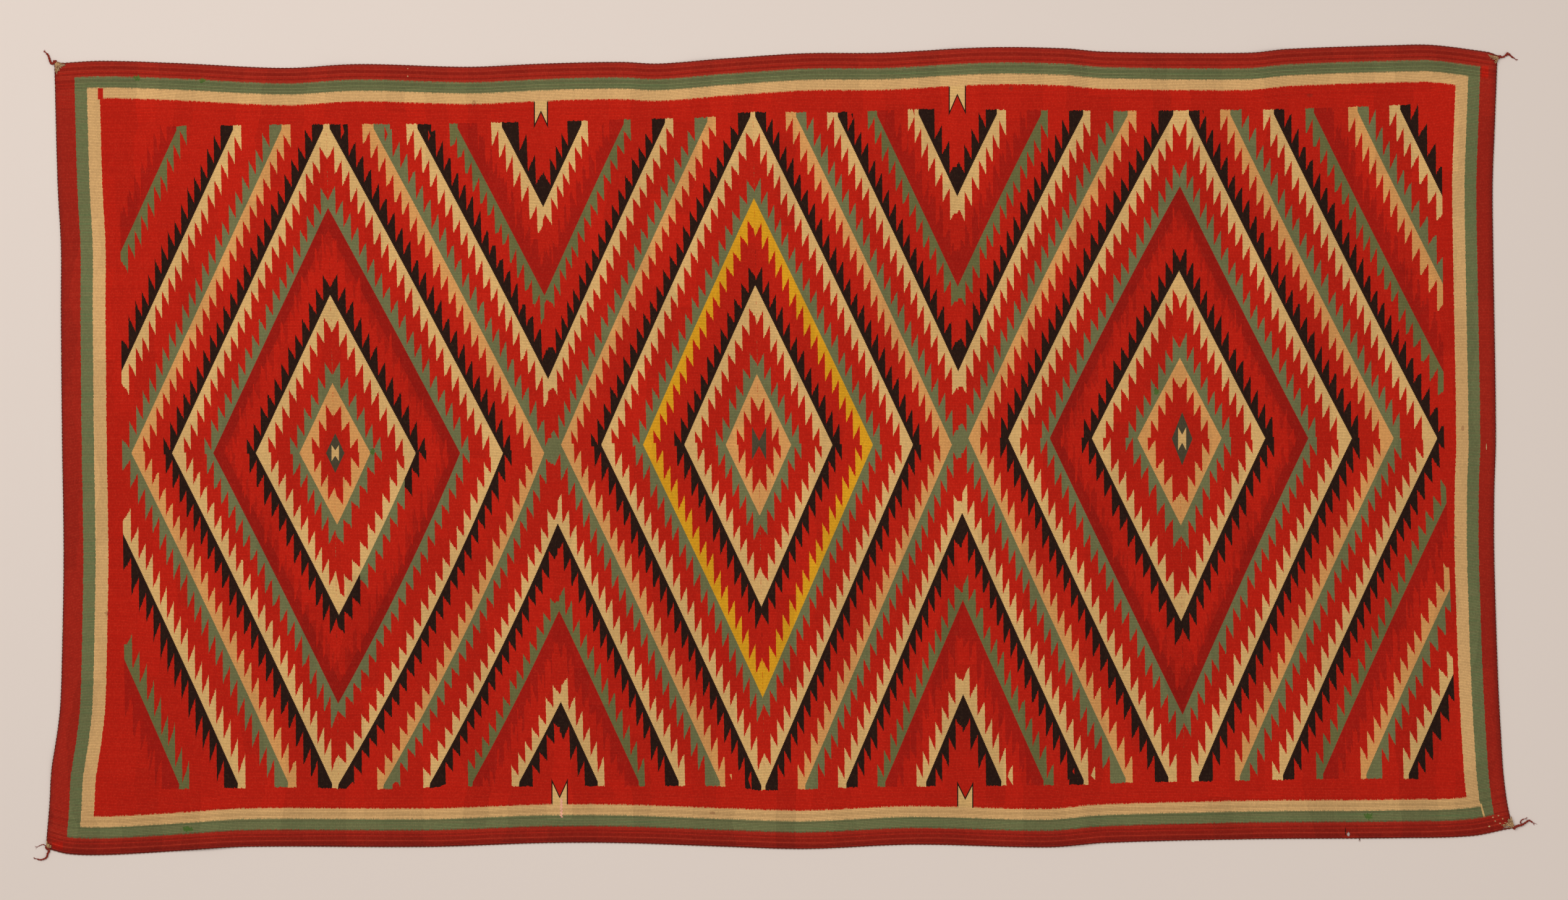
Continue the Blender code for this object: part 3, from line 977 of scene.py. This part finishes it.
    leftGap, rightGap, _ = split(tree, attribute(tree, "margins"))
    rightGap = scaled(tree, y, border["rightLean"], rightGap)
    topGap, bottomGap, _ = split(tree, attribute(tree, "ends"))
    weftShare = calc(tree, "FRACT", weftPlace)
    spike = calc(tree, "ABSOLUTE", scaled(tree, weftShare, 2.0, -1.0))
    spike = times(tree, without(tree, spike), scaled(tree, comb, 0.7, 0.3))
    combGap = scaled(tree, spike, -4.4, 1.6)
    bumpGap = scaled(tree, bump, 1.2, -0.6)
    stripe = None
    for edge, gap, shake in (
        ("left", leftGap, bumpGap), ("right", rightGap, bumpGap),
        ("top", topGap, combGap), ("bottom", bottomGap, combGap),
    ):
        count = stripeNumber(tree, plus(tree, gap, shake), border[edge])
        stripe = count if stripe is None else calc(tree, "MINIMUM", stripe, count)
    topInner = minus(tree, topGap, sum(border["top"]))
    bottomInner = minus(tree, bottomGap, sum(border["bottom"]))
    tabFill, tabLine = tabMasks(tree, x, topInner, bottomInner)
    base = paint(tree, tabLine, base, dye("black"))
    base = paint(tree, tabFill, base, dye("cream"))
    base = paint(tree, under(tree, stripe, 2.5), base, dye("sand"))
    base = paint(tree, blockMask(tree, x, y, 0.0, border["redBar"]), base, dye("scarlet"))
    greenPlaces = cloud(tree, join(tree, times(tree, x, 0.006), y), 1.0, 2.0)
    greener = times(tree, over(tree, greenPlaces, 0.56), 0.6)
    green = paint(tree, greener, dye("sage"), dye("leaf"))
    base = paint(tree, under(tree, stripe, 1.5), base, green)
    lineX, lineY, lean, halfWidth, halfHeight = border["creamLine"]
    line = blockMask(tree, x, y, lean, (lineX, lineY, halfWidth, halfHeight))
    base = paint(tree, line, base, dye("cream"))
    base = paint(tree, under(tree, stripe, 0.5), base, dye("oxblood"))
    combedY = plus(tree, y, combGap)
    for block in wear["newReds"]:
        base = paint(tree, blockMask(tree, x, combedY, 0.0, block), base, dye("scarlet"))

    base = mendsStainsAndShadedSlit(tree, base, place, x, y, strands["Bead"])
    base = unevenTone(tree, base, x, y)
    paleness = node(tree, "ShaderNodeSeparateColor")
    feed(tree, paleness.inputs[0], base)
    contrast = times(tree, paleness.outputs["Green"], 6.0)
    contrast = calc(tree, "MINIMUM", contrast, 1.0)
    contrast = scaled(tree, contrast, 0.75, 0.85)
    light = minus(tree, strands["Light"], 1.0)
    light = scaled(tree, light, contrast, 1.0)
    beadTone = scaled(tree, strands["Bead"], 0.16, 0.92)
    tone = times(tree, light, beadTone)
    # near the long edges some ribs lie deeper and get painted shade, and others catch the light as
    # painted highlights
    nearEdge = scaled(tree, calc(tree, "MINIMUM", topGap, bottomGap), -1 / 95, 1.15)
    nearEdge = calc(tree, "MINIMUM", calc(tree, "MAXIMUM", nearEdge, 0.12), 1.0)
    ribShade = times(tree, nearEdge, over(tree, strands["Ridge"], 0.66))
    tone = times(tree, tone, scaled(tree, ribShade, -0.25, 1.0))
    base = shade(tree, base, tone)
    shine = times(tree, nearEdge, under(tree, strands["Ridge"], 0.28))
    # single beads get rare pale painted glints, a painted highlight
    glint = times(tree, calc(tree, "POWER", strands["Bead"], 5.0), 0.018)
    glint = scaled(tree, shine, 0.018, glint)
    base = paint(tree, glint, base, dye("tan"))
    feed(tree, shader.inputs["Base Color"], base)
    addRelief(tree, shader, strands["Height"], 0.7, 0.6)
    return material


def makeRug(weave):
    mesh = weaveGrid()
    cloth = newPiece("rug", mesh, rugMaterial(weave))
    thick = cloth.modifiers.new("thickness", "SOLIDIFY")
    thick.thickness = rug["thickness"] * mm
    thick.offset = 1.0
    thick.use_even_offset = False
    bpy.context.view_layer.objects.active = cloth
    bpy.ops.object.modifier_apply(modifier=thick.name)
    smoothFaces(cloth.data)
    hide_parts("woven_cloth")
    return cloth


cords = {
    # wool, mm for one turn of the two plies
    "left": ("maroon", 13.0),
    "right": ("maroon", 13.0),
    "top": ("umber", 15.0),
    "bottom": ("umber", 15.0),
}

# Each corner: the knot on the joined cord ends, then the loose tails, in mm from the outer
# corner of the cloth, each with its radius at the root and at the tip. The fan is how far
# the bare warps spread over the cloth.
ties = {
    "top_left": {
        "knot": (1.5, 3.0),
        "fan": 0.95,
        "tails": [
            ([(1.5, 3.0), (-3.5, -1.0), (-7.0, 3.0), (-9.0, 9.5), (-11.0, 15.0), (-14.0, 18.5)],
             2.1, 1.5),
        ],
    },
    "top_right": {
        "knot": (2.5, -7.0),
        "fan": 0.9,
        "tails": [
            ([(2.5, -7.0), (10.0, -7.5), (17.0, -3.0), (24.0, -5.0), (31.0, -10.0)], 1.7, 0.9),
            ([(15.0, -4.5), (18.5, -0.5), (22.5, -4.0)], 1.9, 1.6),
        ],
    },
    "bottom_left": {
        "knot": (3.0, 0.5),
        "fan": 0.6,
        "tails": [
            ([(3.0, 0.5), (7.0, -4.0), (4.0, -10.0), (2.0, -17.0), (-7.5, -21.5),
              (-16.0, -20.0)], 2.0, 1.0),
            ([(3.0, 0.5), (-2.0, 6.0), (-7.5, 6.0), (-13.0, 3.4)], 0.8, 0.5),
        ],
    },
    "bottom_right": {
        "knot": (2.5, 1.0),
        "fan": 1.0,
        "tails": [
            ([(2.5, 1.0), (9.0, 4.0), (17.0, 6.0), (24.0, 10.5), (30.0, 14.0), (36.0, 10.5)],
             2.2, 1.2),
            ([(17.0, 6.0), (14.0, 11.0), (17.5, 15.5), (20.5, 16.5)], 1.1, 0.8),
        ],
    },
}
strandSizes = {
    "knotRadius": 3.0,
    "knotStrand": 1.25,
    "knotHeight": 5.6,
    "bareWarps": 12,
    "warpRadius": 0.85,
    "tailTurn": 9.0,
    "fibres": 7,
    "fibreLength": 8.0,
    "knotDepth": 1.1,  # how far the knot's loop rises and falls
    "plump": 1.3,  # tails are drawn this much fuller than their given radii
    "plyOffset": 0.46,  # shares of a cord's radius
    "plyRadius": 0.56,
}


def smoothRoute(points, steps):  # points on one smooth curve through the given ones
    route = []
    for i in range(len(points) - 1):
        before, start, end = points[max(0, i - 1)], points[i], points[i + 1]
        after = points[min(len(points) - 1, i + 2)]
        for k in range(steps):
            t = k / steps
            route.append(0.5 * (
                2 * start + (end - before) * t
                + (2 * before - 5 * start + 4 * end - after) * t**2
                + (3 * start - before - 3 * end + after) * t**3
            ))
    return route + [points[-1]]


def pliedStrands(route, rootRadius, tipRadius, turn, plies=2, perTurn=9):
    # The plies that twist round a route, each as its points and radii.
    lengths = [0.0]
    for start, end in zip(route, route[1:]):
        lengths.append(lengths[-1] + (end - start).length)
    total = lengths[-1]
    steps = max(6, round(total / turn * perTurn))
    strands = [([], []) for _ in range(plies)]
    i = 0
    for k in range(steps + 1):
        place = total * k / steps
        while i < len(route) - 2 and place > lengths[i + 1]:
            i += 1
        share = (place - lengths[i]) / (lengths[i + 1] - lengths[i])
        point = route[i].lerp(route[i + 1], share)
        ahead = (route[i + 1] - route[i]).normalized()
        side = Vector((-ahead.y, ahead.x, 0)).normalized()
        up = ahead.cross(side)
        radius = rootRadius + (tipRadius - rootRadius) * k / steps
        for ply, (points, radii) in enumerate(strands):
            angle = 2 * math.pi * (place / turn + ply / plies)
            around = side * math.cos(angle) + up * math.sin(angle)
            points.append(point + around * radius * strandSizes["plyOffset"])
            radii.append(radius * strandSizes["plyRadius"])
    return strands


def strandMesh(name, strands, rounding):
    # Closed tubes along the strands, as one mesh. Points and radii come in millimetres.
    data = bpy.data.curves.new(name, "CURVE")
    data.dimensions = "3D"
    data.bevel_depth = 1.0
    data.bevel_resolution = rounding
    data.use_fill_caps = True
    for points, radii in strands:
        line = data.splines.new("POLY")
        line.points.add(len(points) - 1)
        for given, point, radius in zip(line.points, points, radii):
            given.co = (*(point * mm), 1.0)
            given.radius = radius * mm
    curve = newObject(name + "Line", data)
    bpy.context.view_layer.update()
    evaluated = curve.evaluated_get(bpy.context.evaluated_depsgraph_get())
    mesh = bpy.data.meshes.new_from_object(evaluated)
    bpy.data.objects.remove(curve, do_unlink=True)
    welded = bmesh.new()
    welded.from_mesh(mesh)
    bmesh.ops.remove_doubles(welded, verts=welded.verts, dist=0.000004)
    bmesh.ops.recalc_face_normals(welded, faces=welded.faces)
    welded.to_mesh(mesh)
    welded.free()
    smoothFaces(mesh)
    return mesh


def woolGroup():
    # Spun wool: fibres, a soft unevenness and pale flecks, for cords and ties.
    inputs = [
        ("Wool", colour, (0.1, 0.02, 0.01, 1)), ("Fleck", colour, (0.5, 0.3, 0.2, 1)),
        ("Flecks", number, 0.1),
    ]
    outputs = [("Color", colour), ("Height", number)]
    group, source, sink = newGroup("spunWool", inputs, outputs)
    place = node(group, "ShaderNodeTexCoord").outputs["Object"]
    fibre = cloud(group, place, 1900.0, 3.0, 0.7)
    uneven = cloud(group, place, 120.0, 3.0)
    fleck = over(group, cloud(group, place, 420.0, 2.0), minus(group, 0.74, source["Flecks"]))
    base = paint(group, times(group, fleck, 0.6), source["Wool"], source["Fleck"])
    tone = scaled(group, fibre, 0.5, 0.72)
    tone = times(group, tone, scaled(group, uneven, 0.5, 0.78))
    feed(group, sink["Color"], shade(group, base, tone))
    feed(group, sink["Height"], fibre)
    return group


def strandMaterial(name, group, woolName, fleckName, flecks):
    material, tree, shader = newMaterial(name, 0.9, 0.08)
    spun = useGroup(tree, group, Wool=dye(woolName), Fleck=dye(fleckName), Flecks=flecks)
    feed(tree, shader.inputs["Base Color"], spun["Color"])
    addRelief(tree, shader, spun["Height"], 0.5, 0.3)
    return material


def cornerMiddle(corner):
    along, side = corner.split("_")
    outer = outerLine(along, 0.0 if side == "left" else 1.0)
    return outer + Vector(ties[corner]["knot"])


def makeCord(edge, group):
    # The two-ply cord along one edge, from knot to knot.
    woolName, turn = cords[edge]
    radius = rug["cordRadius"]
    length = edgeLength(edge)
    count = round(length / 8)
    near = rug["cornerReach"] * 0.9 / length
    route = []
    for k in range(count + 1):
        p = insetLine(edge, near + (1 - 2 * near) * k / count, radius)
        route.append(Vector((p.x, p.y, radius + rippleHeight(p.x, p.y))))
    ends = {
        "top": ("top_left", "top_right"), "bottom": ("bottom_left", "bottom_right"),
        "left": ("bottom_left", "top_left"), "right": ("bottom_right", "top_right"),
    }[edge]
    first, last = (cornerMiddle(corner) for corner in ends)
    start = smoothRoute([Vector((*first, radius)), route[0], route[4]], 6)[:6]
    finish = smoothRoute([route[-5], route[-1], Vector((*last, radius))], 6)[7:]
    route = start + route + finish
    strands = pliedStrands(route, radius, radius, turn)
    if edge == "bottom":  # a burst of loose fibres
        x, y = wear["tuft"]
        stub = [Vector((x, y + 2.0 - k, 1.2)) for k in range(4)]
        strands += frayedEnd(stub, 1.0, random.Random(3))
    mesh = strandMesh(f"{edge}EdgeCord", strands, 1)
    flecks = 0.13 if edge in ("left", "right") else 0.06
    material = strandMaterial(f"{edge}CordWool", group, woolName, "tan", flecks)
    cord = newPiece(f"{edge}EdgeCord", mesh, material)
    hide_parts(f"edge_cord_{edge}")
    return cord


def knotStrand(middle):
    # An overhand knot drawn tight: a three-lobed loop.
    points = []
    for k in range(40):
        t = 2 * math.pi * k / 39
        points.append(Vector((
            middle.x + (math.sin(t) + 2 * math.sin(2 * t)) * strandSizes["knotRadius"] / 3,
            middle.y + (math.cos(t) - 2 * math.cos(2 * t)) * strandSizes["knotRadius"] / 3,
            strandSizes["knotHeight"] / 2 - math.sin(3 * t) * strandSizes["knotDepth"],
        )))
    return points


def frayedEnd(route, radius, dice):
    # Loose fibres that spread from the tip of a tail.
    tip, before = route[-1], route[-3]
    ahead = (tip - before).normalized()
    strands = []
    for _ in range(strandSizes["fibres"]):
        length = strandSizes["fibreLength"] * dice.uniform(0.5, 1.0)
        aside = Vector((-ahead.y, ahead.x, 0)) * dice.uniform(-0.45, 0.45)
        bend = Vector((dice.uniform(-1, 1), dice.uniform(-1, 1), 0)) * 1.2
        end = tip + (ahead + aside) * length + bend
        end.z = 0.3
        middle = tip + (ahead + aside * 0.4) * length * 0.5
        middle.z = radius * dice.uniform(0.5, 1.2)
        start = tip - ahead * 1.5
        points = smoothRoute([start, middle, end], 3)
        last = len(points) - 1
        strands.append((points, [radius * 0.32 * (1 - 0.6 * k / last) for k in range(last + 1)]))
    return strands


def makeTie(corner, materials):
    dice = random.Random(corner)
    outer = cornerMiddle(corner) - Vector(ties[corner]["knot"])
    middle = cornerMiddle(corner)
    knotRadius, warpRadius = strandSizes["knotStrand"], strandSizes["warpRadius"]
    strands = pliedStrands(knotStrand(middle), knotRadius, knotRadius, 6.0)
    for places, root, tip in ties[corner]["tails"]:
        root, tip = root * strandSizes["plump"], tip * strandSizes["plump"]
        given = []
        for k, place in enumerate(places):
            radius = root + (tip - root) * k / (len(places) - 1)
            given.append(Vector((*(outer + Vector(place)), radius * 1.03)))
        route = smoothRoute(given, 4)
        strands += pliedStrands(route, root, tip, strandSizes["tailTurn"], 2, 10)
        strands += frayedEnd(route, tip, dice)
    tails = strandMesh("tail", strands, 1)
    along, side = corner.split("_")
    inX = 1 if side == "left" else -1
    inY = 1 if along == "bottom" else -1
    reach = rug["cornerReach"]
    warps = []
    for k in range(strandSizes["bareWarps"]):
        share = (k + 0.5) / strandSizes["bareWarps"]
        inward = reach * (0.76 + 0.3 * dice.random()) * ties[corner]["fan"]
        foot = outer + Vector((inX * inward * (0.15 + share), inY * inward * (1.15 - share)))
        height = rug["thickness"] + 2 * wear["cockle"] + 0.6
        crown = middle.lerp(foot, 0.55) + Vector((dice.uniform(-1, 1), dice.uniform(-1, 1)))
        points = smoothRoute([
            Vector((*middle, 2.6)), Vector((*crown, height + 0.6)), Vector((*foot, height)),
        ], 4)
        warps += pliedStrands(points, warpRadius, warpRadius, 4.0, 2, 8)
    bare = strandMesh("bare", warps, 0)
    joined = bmesh.new()
    joined.from_mesh(tails)
    count = len(joined.faces)
    joined.from_mesh(bare)
    mesh = bpy.data.meshes.new("cornerTie")
    joined.to_mesh(mesh)
    joined.free()
    words = "".join(word.capitalize() for word in corner.split("_"))
    tie = newPiece(f"cornerTie{words}", mesh, materials[0])
    tie.data.materials.append(materials[1])
    smoothFaces(tie.data)
    for face in tie.data.polygons[count:]:
        face.material_index = 1
    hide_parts(f"corner_tie_{corner}")
    return tie


def makeStudio():
    floorMesh = bpy.data.meshes.new("floor")
    sheet = bmesh.new()
    bmesh.ops.create_grid(sheet, x_segments=1, y_segments=1, size=studio["floorSize"] / 2)
    sheet.to_mesh(floorMesh)
    sheet.free()
    floor = newObject("floor", floorMesh)
    floor.location.z = -0.0005
    matt, _, shader = newMaterial("paleFloor", 0.95, 0.0)
    shader.inputs["Base Color"].default_value = dye(studio["floorColour"])
    floorMesh.materials.append(matt)
    for name, power, size, place in (
        ("keyLight", studio["keyPower"], 4.0, (-2.2, 2.0, 5.0)),
        ("fillLight", studio["fillPower"], 5.0, (2.6, -1.2, 5.0)),
    ):
        lamp = bpy.data.lights.new(name, "AREA")
        lamp.energy = power
        lamp.size = size
        made = newObject(name, lamp)
        made.location = place
        made.rotation_euler = Vector(place).to_track_quat("Z", "Y").to_euler()
    world = bpy.data.worlds.new("softSky")
    world.use_nodes = True
    sky = world.node_tree.nodes["Background"]
    sky.inputs["Color"].default_value = (1.0, 0.98, 0.95, 1.0)
    sky.inputs["Strength"].default_value = studio["skyStrength"]
    bpy.context.scene.world = world
    eye = bpy.data.cameras.new("camera")
    eye.sensor_width = studio["sensorWidth"]
    eye.lens = studio["sensorWidth"] * studio["cameraHeight"] / (studio["pictureWidth"] * mm)
    eye.clip_end = 50.0
    camera = newObject("camera", eye)
    x, y = studio["pictureMiddle"]
    camera.location = (x * mm, y * mm, studio["cameraHeight"])
    bpy.context.scene.camera = camera
    bpy.context.scene.view_settings.view_transform = "Standard"


makeStudio()
print("stage 2: floor, lights and camera")
weave = weaveGroup()
cloth = makeRug(weave)
print("stage 3: woven cloth,", len(cloth.data.polygons), "faces")
spun = woolGroup()
edgeCords = [makeCord(edge, spun) for edge in cords]
print("stage 4: edge cords,", sum(len(cord.data.polygons) for cord in edgeCords), "faces")
tieWools = [
    strandMaterial("tailWool", spun, "rust", "tan", 0.03),
    strandMaterial("bareWarpWool", spun, "tan", "umber", 0.2),
]
cornerTies = [makeTie(corner, tieWools) for corner in ties]
print("stage 5: corner ties,", sum(len(tie.data.polygons) for tie in cornerTies), "faces")
